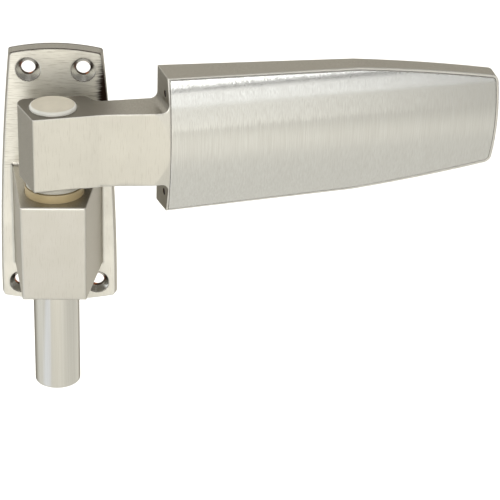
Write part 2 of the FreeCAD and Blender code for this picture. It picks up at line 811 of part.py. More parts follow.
def build_strap_blank():
    """Outer form of the strap casting before the crown, tray and bores are cut."""
    body = make_body("strap_blank")
    back = make_sketch(body, "tray_back", "XZ_Plane", -dim.strap_back)
    tray_outline(back, ZERO)
    front = make_sketch(body, "tray_front", "XZ_Plane", dim.tray_block - dim.strap_back)
    tray_outline(front, dim.tray_draft, dim.shoulder_lean - dim.tray_draft)
    tray = body.newObject("PartDesign::AdditiveLoft", "tray")
    tray.Profile = back
    tray.Sections = [front]
    tray.Ruled = True
    fillet(body, "tip_corners", tray, dim.tip_round, at_tip)

    arm_end = dim.shoulder + dim.shoulder_lean
    arm_end_front = dim.arm_front + (arm_end - dim.waist_end) * dim.arm_flare
    waist_front = dim.knuckle_front - (dim.waist_start + dim.knuckle_left) * dim.knuckle_lean
    neck_wide = dim.neck_end - dim.neck_start
    neck_deep = dim.knuckle_back - dim.strap_back
    neck_bow = (neck_wide * neck_wide + neck_deep * neck_deep) / (neck_deep * 4)
    outline = make_sketch(body, "knuckle_outline", "XY_Plane", dim.knuckle_low)
    points = [
        (-dim.knuckle_left, -dim.knuckle_front),
        (dim.waist_start, -waist_front),
        (dim.waist_end, -dim.arm_front),
        (arm_end, -arm_end_front),
        (arm_end, dim.strap_back),
        (dim.neck_end, dim.strap_back),
        ((dim.neck_start + dim.neck_end) / 2, (dim.knuckle_back + dim.strap_back) / 2),
        (dim.neck_start, dim.knuckle_back),
        (-dim.knuckle_heel_in, dim.knuckle_back),
        (-dim.knuckle_left_back, dim.knuckle_heel),
    ]
    bows = {1: -dim.waist_bow, 5: -neck_bow, 6: neck_bow, 8: dim.knuckle_heel_bow}
    draw_outline(outline, points, bows)
    knuckle = pad(body, "knuckle", outline, dim.knuckle_top - dim.knuckle_low)
    corners = fillet(body, "arm_corners", knuckle, dim.arm_round, at_arm_corner)
    fillet(body, "knuckle_edges", corners, dim.knuckle_edge_round, at_knuckle_front)

    fronts = [waist_front, dim.arm_front, arm_end_front]
    bevel = body.newObject("PartDesign::SubtractiveLoft", "arm_bevel")
    bevel.Profile = bevel_section(body, "arm_bevel_low", ZERO, fronts, dim.arm_bevel_in)
    bevel.Sections = [bevel_section(body, "arm_bevel_high", dim.arm_bevel_up, fronts, ZERO)]
    bevel.Ruled = True
    return body


def bevel_section(body, name, rise, fronts, inset):
    """Level section of the cut along the arm's lower front edge, which fades out to the tray."""
    sketch = make_sketch(body, name, "XY_Plane", dim.knuckle_low + rise)
    end = dim.shoulder + dim.shoulder_lean
    reach = fronts[2] + dim.arm_bevel_in
    points = [
        (dim.waist_start, -reach),
        (end, -reach),
        (end, -fronts[2] - dim.arm_bevel_in / 4),
        (dim.waist_end, inset / 2 - fronts[1]),
        (dim.waist_start, inset - fronts[0]),
    ]
    draw_outline(sketch, points)
    return sketch


def knuckle_bores():
    """Tools for the knuckle: cam seat with key slots, square socket, and the cap's seat and mouth."""
    hub_top = dim.knuckle_low + dim.cam_hub_tall + dim.seat_gap
    half = dim.square_side / 2 + dim.running_gap
    cap_floor = dim.knuckle_top - dim.cap_seat
    reach = dim.cam_hub_key_reach + dim.seat_gap
    key_half = dim.cam_key_wide / 2 + dim.seat_gap
    cap_bore = dim.cap_radius + dim.seat_gap
    seat_section = [
        (ZERO, cap_floor),
        (cap_bore, cap_floor),
        (cap_bore, dim.knuckle_top - dim.cap_mouth),
        (cap_bore + dim.cap_mouth, dim.knuckle_top),
        (ZERO, dim.knuckle_top),
    ]
    return [
        ring("cam_hub_seat", ZERO, dim.cam_hub_radius + dim.seat_gap, dim.knuckle_low, hub_top),
        block("cam_key_seats", -reach, reach, -key_half, key_half, dim.knuckle_low, hub_top),
        block("drive_socket", -half, half, -half, half, dim.knuckle_low, dim.knuckle_top),
        revolve("cap_seat", seat_section),
    ]


def across_floor(name, radius, x, z, front):
    """A cylinder along Y through the tray's floor."""
    rod = doc.addObject("Part::Cylinder", name)
    bind(rod, "Radius", radius)
    bind(rod, "Height", dim.strap_back - front)
    return place(rod, x, dim.strap_back, z, turn=as_size(90), axis=Vector(1, 0, 0))


def door_screws(kind, radius, front):
    """The four screw places on the tray's floor, two near the shoulder and two near the tip."""
    places = []
    for end, x, half in (
        ("near", dim.door_near, dim.door_near_half),
        ("far", dim.door_far, dim.door_far_half),
    ):
        for side, sign in (("up", 1), ("down", -1)):
            z = dim.strap_mid + half * sign
            places.append(across_floor(f"{kind}_{end}_{side}", radius, x, z, front))
    return places


def set_screw_rod(name, radius, left, right, sign):
    """A cylinder along X at one of the two set screws."""
    rod = doc.addObject("Part::Cylinder", name)
    bind(rod, "Radius", radius)
    bind(rod, "Height", right - left)
    z = dim.strap_mid + dim.lug_rise * sign
    return place(rod, left, -dim.set_screw_out, z, turn=as_size(90), axis=Vector(0, 1, 0))


def build_strap(crown, ledge):
    """Casting: knuckle, arm and crowned tray, with a ledge for the cover and pads for the screws."""
    blank = build_strap_blank()
    crowned = combine("Common", "strap_crowned", [blank, crown])
    rim = tray_prism("cover_space", dim.tray_rim, dim.shoulder_lean - dim.tray_draft, FLOOR)
    recess = cut("cover_recess", rim, [ledge])
    inset = dim.tray_rim + dim.tray_ledge
    hollow = tray_prism("tray_hollow", inset, dim.shoulder_lean - dim.tray_draft, FLOOR)
    tray = cut("strap_tray", crowned, [recess, hollow])
    pads = door_screws("door_pad", dim.door_pad_radius, FLOOR - dim.door_pad_tall)
    padded = combine("Fuse", "strap_padded", [tray, *pads])
    holes = door_screws("door_hole", dim.door_hole / 2, FLOOR - dim.door_pad_tall)
    wall = dim.shoulder + dim.shoulder_lean + inset
    thread = dim.set_screw_radius + dim.seat_gap
    taps = [
        set_screw_rod(f"set_screw_tap_{sign + 1}", thread, dim.shoulder, wall, sign)
        for sign in (1, -1)
    ]
    return on_strap(cut("strap", padded, [*holes, *taps, *knuckle_bores()]))


def build_cover(crown, under):
    """Crowned cover plate that lies on the tray's ledge, with two lugs for its set screws."""
    gap = dim.tray_rim + dim.cover_gap
    plan = tray_prism("cover_plan", gap, dim.shoulder_lean - dim.tray_draft, FLOOR)
    bent = combine("Common", "cover_bent", [plan, crown])
    skin = cut("cover_skin", bent, [under])
    left = dim.shoulder + dim.shoulder_lean + dim.tray_rim + dim.tray_ledge + dim.cover_gap
    half = dim.lug_wide / 2
    lugs = []
    for sign in (1, -1):
        z = dim.strap_mid + dim.lug_rise * sign
        front = -dim.crown_front
        box = block(
            f"cover_lug_{sign + 1}",
            left,
            left + dim.lug_thick,
            front,
            front + dim.lug_deep + dim.lug_thick,
            z - half,
            z + half,
        )
        lugs.append(combine("Common", f"cover_lug_in_{sign + 1}", [box, crown]))
    whole = combine("Fuse", "cover_whole", [skin, *lugs])
    tap = dim.set_screw_radius + dim.seat_gap
    right = left + dim.lug_thick
    taps = [set_screw_rod(f"lug_tap_{sign + 1}", tap, left, right, sign) for sign in (1, -1)]
    return on_strap(cut("strap_cover", whole, taps))


def build_set_screw(name, sign):
    """Set screw through the shoulder into a lug of the cover, with a hexagon socket."""
    left = dim.shoulder + dim.tray_ledge
    shank = set_screw_rod(f"{name}_shank", dim.set_screw_radius, left, left + dim.set_screw_long, sign)
    socket = doc.addObject("Part::Prism", f"{name}_socket")
    socket.Polygon = 6
    bind(socket, "Circumradius", dim.hex_key / 2)
    bind(socket, "Height", dim.hex_key)
    z = dim.strap_mid + dim.lug_rise * sign
    place(socket, left, -dim.set_screw_out, z, turn=as_size(90), axis=Vector(0, 1, 0))
    return on_strap(cut(name, shank, [socket]))


def build_cap():
    """Plug in the top of the knuckle, with a rounded rim."""
    low = dim.knuckle_top - dim.cap_seat
    top = dim.knuckle_top + dim.cap_proud
    section = [
        (ZERO, low),
        (dim.cap_radius, low),
        (dim.cap_radius, top - dim.cap_round),
        (dim.cap_radius - dim.cap_round, top),
        (ZERO, top),
    ]
    return on_strap(revolve("top_cap", section, {2: dim.cap_round}))


def check_document(pieces):
    """Stop where an object failed, a cut removed nothing or a piece is not one valid solid."""
    for thing in doc.Objects:
        if "Invalid" in thing.State or "Error" in thing.State:
            raise RuntimeError(f"{thing.Name} failed: {thing.State}")
        if thing.TypeId in ("PartDesign::Pocket", "PartDesign::Hole", "PartDesign::SubtractiveLoft"):
            if thing.Shape.Volume > thing.BaseFeature.Shape.Volume - 0.01:
                raise RuntimeError(f"{thing.Name} cuts nothing")
    for piece in pieces:
        shape = piece.Shape
        if shape.isNull() or not shape.isValid() or len(shape.Solids) != 1:
            raise RuntimeError(f"{piece.Label} is not one valid solid")


def main():
    """Build every piece, check it and write it to its own file."""
    crown = build_crown("crown", dim.crown_radius)
    under = build_crown("crown_under", dim.crown_radius - dim.cover_thick)
    ledge = build_crown("crown_ledge", dim.crown_radius - dim.cover_thick - dim.seat_gap)
    pieces = [
        build_flange(),
        build_tube(),
        build_plug(),
        build_plug_pin(),
        build_lock_screw(),
        build_spring(),
        build_bush(),
        build_washer(),
        build_lower_cam(),
        build_spindle(),
        build_upper_cam(),
        build_strap(crown, ledge),
        build_cover(crown, under),
        build_set_screw("cover_screw_upper", 1),
        build_set_screw("cover_screw_lower", -1),
        build_cap(),
    ]
    doc.recompute()
    check_document(pieces)
    os.makedirs("parts", exist_ok=True)
    for piece in pieces:
        piece.Shape.exportStep(os.path.join("parts", f"{piece.Label}.step"))


main()
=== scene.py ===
"""Finishes and studio stage for a spring-assisted offset hinge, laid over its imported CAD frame."""

import json
import math

import bpy
from bpy.props import FloatProperty, FloatVectorProperty, PointerProperty
from bpy.types import Operator, Panel, PropertyGroup
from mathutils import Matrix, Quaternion, Vector


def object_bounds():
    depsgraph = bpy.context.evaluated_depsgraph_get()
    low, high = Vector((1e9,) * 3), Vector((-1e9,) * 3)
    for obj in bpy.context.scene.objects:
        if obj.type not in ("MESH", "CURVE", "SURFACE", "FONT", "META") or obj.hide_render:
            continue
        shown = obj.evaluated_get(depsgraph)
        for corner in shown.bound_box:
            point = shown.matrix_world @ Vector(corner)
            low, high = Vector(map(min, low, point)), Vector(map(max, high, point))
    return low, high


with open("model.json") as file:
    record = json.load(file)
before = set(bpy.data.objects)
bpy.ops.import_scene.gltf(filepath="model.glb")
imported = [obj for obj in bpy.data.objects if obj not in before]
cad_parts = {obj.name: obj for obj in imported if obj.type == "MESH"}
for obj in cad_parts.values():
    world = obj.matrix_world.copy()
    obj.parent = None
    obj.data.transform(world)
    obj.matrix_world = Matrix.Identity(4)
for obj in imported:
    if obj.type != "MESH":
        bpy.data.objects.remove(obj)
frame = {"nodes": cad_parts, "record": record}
CAD_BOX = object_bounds()
NODES = frame["nodes"]
MOUNTS = {mount["name"]: mount for mount in frame["record"]["mounts"]}

bl_info = {
    "name": "Offset hinge finishes",
    "version": (1, 0, 0),
    "blender": (4, 5, 0),
    "location": "3D View > Sidebar > Hinge",
    "description": "Gives each piece of an offset hinge its finish and sets up a plain studio",
    "category": "Material",
}

MM = 0.001
FLANGE_FRONT = (0.0, -1.0, 0.0)
STRAP_FRONT = tuple(MOUNTS["strap_screws_near"]["axis"])
STRAP_TURN = math.atan2(STRAP_FRONT[0], -STRAP_FRONT[1])
SWING = next(joint for joint in frame["record"]["behaviour"]["joints"] if joint["name"] == "swing")
PIN_AXIS = (SWING["pos_m"][0], SWING["pos_m"][1], 0.0)

# Settings of nodes that several finishes share. A mapping of the last kind measures places in cells.
COLOURS = {"data_type": "RGBA"}
SMOOTH = {"interpolation_type": "SMOOTHSTEP"}
INTO_CELLS = {"vector_type": "TEXTURE"}

# Most values of a noise lie in this span.
NOISE_SPAN = {"From Min": 0.3, "From Max": 0.7}
# How squarely a face looks to the front, as a cosine, where brushing begins and where it is full; faces
# short of it get painted shade.
BRUSHED_SPAN = {"From Min": 0.35, "From Max": 0.8}
# Depth (Y) at which the plate gives way to the boss, and height (Z) below which the plate lies beside it.
BOSS_DEPTH = {"From Min": -6 * MM, "From Max": -9 * MM}
BOSS_HEIGHT = {"From Min": 8 * MM, "From Max": 2 * MM}
# Noise below which a brush line is a scratch, and how much of the scratch colour it then takes.
FINE_SCRATCH = {"From Min": 0.46, "From Max": 0.3, "To Max": 0.2}
DEEP_SCRATCH = {"From Min": 0.5, "From Max": 0.32, "To Max": 0.55}
# Distance from the pin over which the painted shade on the tops fades out, and its strength.
TOP_SHADE_SPREAD = {"From Min": 36 * MM, "From Max": 18 * MM, "To Max": 0.8}
# Middle and half sizes of the painted dark reflection on the plate, and of the room round a cover screw and
# its hole.
ARM_DARK_REFLECTION = {"Location": (25.2 * MM, -5 * MM, 45 * MM), "Scale": (7 * MM, 4.8 * MM, 26 * MM)}
SCREW_ROOM = (9 * MM, 1.9 * MM, 1.9 * MM)
# Turn of the anisotropy, as a share of a full circle, that suits upright brush lines.
UPRIGHT = 0.25
# Roughness of the brushed fronts, and of the plate with its deeper lines.
FRONT_ROUGH = 0.3
PLATE_ROUGH = 0.36


def linear(code):
    """Linear red, green and blue of an sRGB hex colour."""
    parts = [int(code[i : i + 2], 16) / 255 for i in (0, 2, 4)]
    return tuple(p / 12.92 if p <= 0.04045 else ((p + 0.055) / 1.055) ** 2.4 for p in parts)


def add(tree, kind, settings=None, inputs=None):
    """Adds a node with its settings, and gives each named or numbered input a value, a socket or a node."""
    node = tree.nodes.new("ShaderNode" + kind)
    for key, value in (settings or {}).items():
        setattr(node, key, value)
    for key, value in (inputs or {}).items():
        if isinstance(key, int):
            entry = node.inputs[key]
        else:
            entry = next(s for s in node.inputs if s.enabled and s.name == key)
        if isinstance(value, bpy.types.Node):
            value = next(s for s in value.outputs if s.enabled)
        if isinstance(value, bpy.types.NodeSocket):
            tree.links.new(value, entry)
        else:
            entry.default_value = value
    return node


def blank(name):
    """A new material and its empty node tree."""
    material = bpy.data.materials.new(name)
    material.use_nodes = True
    material.node_tree.nodes.clear()
    return material, material.node_tree


def dress(material, *names):
    """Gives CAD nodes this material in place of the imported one."""
    for name in names:
        for slot in NODES[name].material_slots:
            slot.material = material


def colour(code, name, description):
    """A colour that a user may change."""
    return FloatVectorProperty(
        name=name, description=description, default=linear(code), subtype="COLOR", size=3, min=0, max=1
    )


def length(metres, name, description):
    """A length that a user may change."""
    return FloatProperty(
        name=name, description=description, default=metres, unit="LENGTH", precision=5, min=0
    )


def opaque(rgb):
    """A colour with full alpha, as colour sockets take it."""
    return (*rgb, 1.0)


def brush_lines(tree, place, pitch, run, axis, turn=0.0, detail=3.0):
    """Brush lines: noise in cells one pitch wide and one run long, along an axis of the turned piece."""
    cell = [pitch] * 3
    cell["XYZ".index(axis)] = run
    laid = add(tree, "Mapping", INTO_CELLS, {"Vector": place, "Rotation": (0.0, 0.0, turn), "Scale": cell})
    return add(tree, "TexNoise", {}, {"Vector": laid, "Scale": 1.0, "Detail": detail, "Roughness": 0.6})


def worn_edges(tree, radius):
    """The normal with edges broken by a small radius, and how far it turns there: 0 on a face to 1."""
    broken = add(tree, "Bevel", {"samples": 6}, {"Radius": radius})
    face = add(tree, "NewGeometry").outputs["Normal"]
    along = add(tree, "VectorMath", {"operation": "DOT_PRODUCT"}, {0: broken, 1: face})
    turned = add(tree, "MapRange", {}, {"Value": along, "From Min": 0.995, "From Max": 0.9})
    return broken, turned


class HingeFinish(PropertyGroup):
    """Colours and pattern sizes of the finishes."""

    chrome_light: colour("E6E4DC", "Chrome, light", "Clean patches on the plated fronts")
    chrome_dark: colour("DDDBD3", "Chrome, dark", "Cloudy patches on the plated fronts")
    # The plate's clean colour is paler than the boss's, though both have the same plating: painted light on
    # the plate.
    plate_painted_light: colour("F4F2EA", "Plate, light", "Clean patches on the flange plate")
    boss_light: colour("E3E1DB", "Boss, light", "Clean patches on the flange boss")
    chrome_scratch: colour("A9A395", "Chrome, scratch", "Brush scratches on the plated fronts")
    # Dull colours: tops, ends and sides darker than the fronts, which is painted shade.
    strap_side_shade: colour("9A968D", "Strap, dull", "Tumbled tops, ends and sides of the strap")
    flange_side_shade: colour("A6A299", "Flange, dull", "Tumbled tops, ends and sides of the flange")
    # The edge colour is a painted highlight: edges are made paler to stand in for the lights they catch.
    chrome_edge_highlight: colour("F6F5F1", "Chrome, edge", "Edges rubbed bright by polishing")
    chrome_graze: colour("E8E5DF", "Chrome, grazing", "Tint of the plated castings seen at a grazing angle")
    # The colour of the tops round the pin is painted shade.
    pin_top_shade: colour("6B6862", "Grease", "Tops round the pin, stained by grease")
    # This colour is a painted dark reflection, laid along the upper plate edges and beside the arm.
    plate_dark_reflection: colour("2A1D18", "Plate edge", "Upper plate edges where the plating is thin and stained")
    # Turned metal in the countersinks, given a darker colour than the plate as painted shade.
    countersink_shade: colour("B4B3AE", "Countersink", "Turned metal in the plate's countersinks")
    copper: colour("B0602F", "Copper", "Copper under the plating, bare in patches inside the screw holes")
    # The bore colour is painted shade inside the screw holes.
    bore_shade: colour("3A2A22", "Bore", "Stained metal inside the screw holes")
    cover_light: colour("E8E9E6", "Cover, light", "Raised brush lines on the cover")
    cover_dark: colour("DCDCD8", "Cover, dark", "Brush scratches on the cover")
    tube_light: colour("E8E7E1", "Tube, light", "Drawn steel tube, plated")
    tube_dark: colour("DEDCD4", "Tube, dark", "Draw lines along the tube")
    # The tube's dark grazing tint is painted shade along its outlines.
    tube_graze_shade: colour("77736B", "Tube, grazing", "Tint of the tube seen at a grazing angle")
    beige: colour("C9B68C", "Beige nylon", "Lower cam")
    grey: colour("C9C7BC", "Grey nylon", "Upper cam")
    cream: colour("E4DDCB", "Cream cap", "Top cap")
    # The cap rim colour is a painted highlight on the rounded rim.
    cap_rim_highlight: colour("F7F7F1", "Cap rim", "Rounded rim of the top cap")
    brush_pitch: length(0.45 * MM, "Brush pitch", "Width of a brush line, real ones being nearer 0.1 mm")
    brush_run: length(6 * MM, "Brush run", "Length of one brush line on the castings")
    cover_run: length(25 * MM, "Cover brush run", "Length of one brush line on the cover")
    plate_run: length(7 * MM, "Plate brush run", "Length of one brush line across the plate")
    grain_size: length(0.5 * MM, "Grain size", "Size of the tumbled grain on dull faces")
    edge_break: length(1.0 * MM, "Edge break", "Radius that polishing leaves on sharp edges")
    sink_radius: length(5.8 * MM, "Countersink radius", "Outer radius of the plate's countersinks")


class HingeStage(PropertyGroup):
    """Camera, floor and lamps."""

    camera_place: FloatVectorProperty(
        name="Camera place",
        description="Where the camera stands",
        default=(0.04061, -0.80529, 0.36717),
        subtype="TRANSLATION",
        unit="LENGTH",
    )
    camera_aim: FloatVectorProperty(
        name="Camera aim",
        description="Point at the middle of the picture",
        default=(0.0948, -0.0221, -0.0302),
        subtype="TRANSLATION",
        unit="LENGTH",
    )
    camera_roll: FloatProperty(
        name="Camera roll",
        description="Turn of the camera about its view line",
        default=math.radians(2.0508),
        subtype="ANGLE",
    )
    camera_lens: FloatProperty(
        name="Camera lens",
        description="Focal length on a 36 mm sensor, in millimetres",
        default=128.33,
        min=1,
    )
    key_spread: FloatProperty(
        name="Key spread",
        description="Angle to which a grid narrows the key lamp",
        default=math.radians(80),
        subtype="ANGLE",
    )
    floor_drop: length(0.36, "Floor drop", "How far the floor lies below the lowest point of the hinge")
    floor_reach: length(10.0, "Floor reach", "How far the floor runs to each side")
    floor_white: colour("F7F7F5", "Floor", "Pale studio floor")
    room_back: colour("F3F0E9", "Room, back", "Pale wall behind the hinge")
    room_front: colour("565350", "Room, front", "Unlit room behind the camera")


class HINGE_OT_castings(Operator):
    """Brushed satin chrome on the flange and the strap"""

    bl_idname = "hinge.castings"
    bl_label = "Finish castings"

    def execute(self, context):
        kit = context.scene.hinge_finish
        dress(self.flange_chrome(kit), "flange")
        dress(self.strap_chrome(kit), "strap")
        return {"FINISHED"}

    def flange_chrome(self, kit):
        # Satin chrome on a zinc casting. Belt lines run upright, but level and deeper on the plate above the
        # boss, and lights smear across them. They are drawn coarser than real ones so that they show.
        material, tree = blank("satin_chrome_flange")
        where = add(tree, "TexCoord").outputs
        place = where["Object"]
        split = add(tree, "SeparateXYZ", {}, {"Vector": place}).outputs
        ahead = add(tree, "MapRange", SMOOTH, {"Value": split["Y"], **BOSS_DEPTH})
        beside = add(tree, "MapRange", SMOOTH, {"Value": split["Z"], **BOSS_HEIGHT})
        stroke = add(tree, "Math", {"operation": "MAXIMUM"}, {0: ahead, 1: beside})
        upright = brush_lines(tree, place, kit.brush_pitch, kit.brush_run, "Z")
        level = brush_lines(tree, place, kit.brush_pitch, kit.plate_run, "X")
        lines = add(tree, "Mix", {}, {"Factor": stroke, "A": level, "B": upright})
        fine = add(tree, "MapRange", {}, {"Value": upright, **FINE_SCRATCH})
        deep = add(tree, "MapRange", {}, {"Value": level, **DEEP_SCRATCH})
        scratch = add(tree, "Mix", {}, {"Factor": stroke, "A": deep, "B": fine})
        rake = add(tree, "Math", {"operation": "MULTIPLY"}, {0: ahead, 1: UPRIGHT})
        coarse = add(tree, "Mix", {}, {"Factor": ahead, "A": PLATE_ROUGH, "B": FRONT_ROUGH})
        front = add(tree, "VectorMath", {"operation": "DOT_PRODUCT"}, {0: where["Normal"], 1: FLANGE_FRONT})
        front_share = add(tree, "MapRange", SMOOTH, {"Value": front, **BRUSHED_SPAN})
        # Clean patches: the plate takes a paler colour than the boss, which is painted light.
        clean = add(
            tree,
            "Mix",
            COLOURS,
            {"Factor": ahead, "A": opaque(kit.plate_painted_light), "B": opaque(kit.boss_light)},
        )
        tone, rough = self.plating(tree, kit, place, front_share, clean, kit.flange_side_shade, scratch, coarse)
        broken, edge_turn = worn_edges(tree, kit.edge_break)
        bright = self.edge_highlight(tree, edge_turn, front_share)
        # Painted highlight along the edges.
        tone = add(tree, "Mix", COLOURS, {"Factor": bright, "A": tone, "B": opaque(kit.chrome_edge_highlight)})
        # Painted dark reflection along the plate's upper edges.
        edge = self.upper_edge_reflection(tree, broken, edge_turn)
        edge = add(tree, "Mix", {}, {"Factor": ahead, "A": edge, "B": 0.0})
        # Painted dark reflection on the plate beside the arm.
        arm_reflection = self.painted_arm_reflection(tree, place, level)
        painted_dark = add(tree, "Math", {"operation": "MAXIMUM"}, {0: edge, 1: arm_reflection})
        tone = add(tree, "Mix", COLOURS, {"Factor": painted_dark, "A": tone, "B": opaque(kit.plate_dark_reflection)})
        tone, rough = self.screw_seats(tree, kit, place, tone, rough)
        # The painted dark reflections hide the metal, and have no gloss of their own.
        metal = add(tree, "MapRange", {}, {"Value": painted_dark, "To Min": 1.0, "To Max": 0.0})
        self.satin(tree, kit, tone, rough, lines, broken, rake, metal=metal, gloss=0.0)
        return material

    def screw_seats(self, tree, kit, place, tone, rough):
        """Turned metal in the plate's countersinks, darkened as painted shade, and painted shade with bare
        copper patches inside its holes.
        """
        reach = self.hole_reach(tree, place)
        sunk = add(
            tree,
            "MapRange",
            {},
            {"Value": reach, "From Min": kit.sink_radius * 1.03, "From Max": kit.sink_radius * 0.99},
        )
        # Countersinks: turned metal, darker than the plate as painted shade.
        tone = add(tree, "Mix", COLOURS, {"Factor": sunk, "A": tone, "B": opaque(kit.countersink_shade)})
        rough = add(tree, "Mix", {}, {"Factor": sunk, "A": rough, "B": 0.2})
        radius = MOUNTS["flange_screws_upper"]["dims"]["hole_r_mm"] * MM
        inside = add(
            tree,
            "MapRange",
            {},
            {"Value": reach, "From Min": radius * 1.08, "From Max": radius * 1.02},
        )
        patch = add(
            tree,
            "TexNoise",
            {"noise_dimensions": "4D"},
            {"Vector": place, "W": 2.0, "Scale": 1 / (5 * MM), "Detail": 1.0},
        )
        bare = add(tree, "MapRange", SMOOTH, {"Value": patch, "From Min": 0.52, "From Max": 0.64})
        # Painted shade inside the holes, with the copper under the plating bare in patches.
        bore_tone = add(tree, "Mix", COLOURS, {"Factor": bare, "A": opaque(kit.bore_shade), "B": opaque(kit.copper)})
        tone = add(tree, "Mix", COLOURS, {"Factor": inside, "A": tone, "B": bore_tone})
        return tone, rough

    def strap_chrome(self, kit):
        # Satin chrome on a zinc casting. Belt lines run upright on the knuckle, arm and tray, so lights
        # smear sideways, and painted shade darkens the tops round the pin. The lines are drawn coarser than
        # real ones to show.
        material, tree = blank("satin_chrome_strap")
        where = add(tree, "TexCoord").outputs
        place = where["Object"]
        lines = brush_lines(tree, place, kit.brush_pitch, kit.brush_run, "Z", STRAP_TURN)
        scratch = add(tree, "MapRange", {}, {"Value": lines, **FINE_SCRATCH})
        front = add(tree, "VectorMath", {"operation": "DOT_PRODUCT"}, {0: where["Normal"], 1: STRAP_FRONT})
        front_share = add(tree, "MapRange", SMOOTH, {"Value": front, **BRUSHED_SPAN})
        clean = opaque(kit.chrome_light)
        # The dull colour of tops, ends and sides is painted shade.
        dull = kit.strap_side_shade
        tone, rough = self.plating(tree, kit, place, front_share, clean, dull, scratch, FRONT_ROUGH)
        flat = add(tree, "VectorMath", {"operation": "MULTIPLY"}, {0: place, 1: (1.0, 1.0, 0.0)})
        reach = add(tree, "VectorMath", {"operation": "DISTANCE"}, {0: flat, 1: PIN_AXIS})
        close = add(tree, "MapRange", SMOOTH, {"Value": reach, **TOP_SHADE_SPREAD})
        rise = add(tree, "SeparateXYZ", {}, {"Vector": where["Normal"]}).outputs["Z"]
        level = add(tree, "MapRange", SMOOTH, {"Value": rise, "From Min": 0.6, "From Max": 0.9})
        shaded_top = add(tree, "Math", {"operation": "MULTIPLY"}, {0: close, 1: level})
        # Painted shade on the tops round the pin.
        tone = add(tree, "Mix", COLOURS, {"Factor": shaded_top, "A": tone, "B": opaque(kit.pin_top_shade)})
        broken, edge_turn = worn_edges(tree, kit.edge_break)
        bright = self.edge_highlight(tree, edge_turn, front_share)
        # Painted highlight along the edges.
        tone = add(tree, "Mix", COLOURS, {"Factor": bright, "A": tone, "B": opaque(kit.chrome_edge_highlight)})
        bored = self.screw_holes(tree, place)
        # Painted shade inside the cover screws' holes.
        tone = add(tree, "Mix", COLOURS, {"Factor": bored, "A": tone, "B": opaque(kit.bore_shade)})
        self.satin(tree, kit, tone, rough, lines, broken, UPRIGHT, metal=1.0, gloss=0.5)
        return material

    def plating(self, tree, kit, place, front_share, clean, side_shade, scratch, coarse):
        """Colour and roughness: pale, cloudy and scratched on fronts; grainy on other faces, over a darker
        colour there that is painted shade.
        """
        grain = add(tree, "TexNoise", {}, {"Vector": place, "Scale": 1 / kit.grain_size, "Detail": 2.0})
        cloud = add(tree, "TexNoise", {}, {"Vector": place, "Scale": 1 / (14 * MM), "Detail": 2.0})
        mottle = add(
            tree, "MapRange", {}, {"Value": cloud, "From Min": 0.35, "From Max": 0.65, "To Min": 0.5}
        )
        cloudy = opaque(kit.chrome_dark)
        lined = opaque(kit.chrome_scratch)
        bright = add(tree, "Mix", COLOURS, {"Factor": mottle, "A": cloudy, "B": clean})
        bright = add(tree, "Mix", COLOURS, {"Factor": scratch, "A": bright, "B": lined})
        speck = add(tree, "MapRange", {}, {"Value": grain, **NOISE_SPAN, "To Max": 0.35})
        # Tops, ends and sides: grain over a darker colour that is painted shade.
        dull = add(tree, "Mix", COLOURS, {"Factor": speck, "A": opaque(side_shade), "B": cloudy})
        tone = add(tree, "Mix", COLOURS, {"Factor": front_share, "A": dull, "B": bright})
        matt = add(tree, "MapRange", {}, {"Value": grain, **NOISE_SPAN, "To Min": 0.34, "To Max": 0.44})
        return tone, add(tree, "Mix", {}, {"Factor": front_share, "A": matt, "B": coarse})

    def satin(self, tree, kit, tone, rough, lines, broken, rake, metal, gloss):
        """Ends the material. The shader's tangent takes only a link, so its constant comes from a node."""
        bump = add(
            tree, "Bump", {}, {"Height": lines, "Distance": 0.005 * MM, "Strength": 1.0, "Normal": broken}
        )
        shader = add(
            tree,
            "BsdfPrincipled",
            {},
            {
                "Base Color": tone,
                "Metallic": metal,
                "Specular IOR Level": gloss,
                "Roughness": rough,
                "Specular Tint": opaque(kit.chrome_graze),
                "Normal": bump,
                "Anisotropic": 0.7,
                "Anisotropic Rotation": rake,
                "Tangent": add(tree, "CombineXYZ", {}, {"Z": 1.0}),
            },
        )
        add(tree, "OutputMaterial", {}, {"Surface": shader})

    def edge_highlight(self, tree, edge_turn, front_share):
        """How much painted highlight an edge gets: in full beside a brushed front, less between faces that
        are not brushed.
        """
        gain = add(tree, "MapRange", {}, {"Value": front_share, "To Min": 0.3})
        return add(tree, "Math", {"operation": "MULTIPLY"}, {0: edge_turn, 1: gain})

    def upper_edge_reflection(self, tree, broken, edge_turn):
        """Where an edge looks up, a little wider than its turn: a painted dark reflection lies there."""
        into = {"vector_type": "NORMAL", "convert_from": "WORLD", "convert_to": "OBJECT"}
        local = add(tree, "VectorTransform", into, {"Vector": broken})
        rise = add(tree, "SeparateXYZ", {}, {"Vector": local}).outputs["Z"]
        upper = add(tree, "MapRange", SMOOTH, {"Value": rise, "From Min": 0.03, "From Max": 0.15})
        wide = add(tree, "MapRange", {}, {"Value": edge_turn, "From Max": 0.05})
        return add(tree, "Math", {"operation": "MULTIPLY"}, {0: upper, 1: wide})

    def painted_arm_reflection(self, tree, place, lines):
        """Painted dark reflection on the plate's right side and beside the arm, ragged along the brush
        lines.
        """
        spot = add(tree, "Mapping", INTO_CELLS, {"Vector": place, **ARM_DARK_REFLECTION})
        away = add(tree, "VectorMath", {"operation": "LENGTH"}, {0: spot})
        # The lines' noise, about 0.5 on average, frays the border, which lies near a distance of 1.
        ragged = add(tree, "Math", {"operation": "ADD"}, {0: away, 1: lines})
        return add(tree, "MapRange", SMOOTH, {"Value": ragged, "From Min": 1.5, "From Max": 1.0})

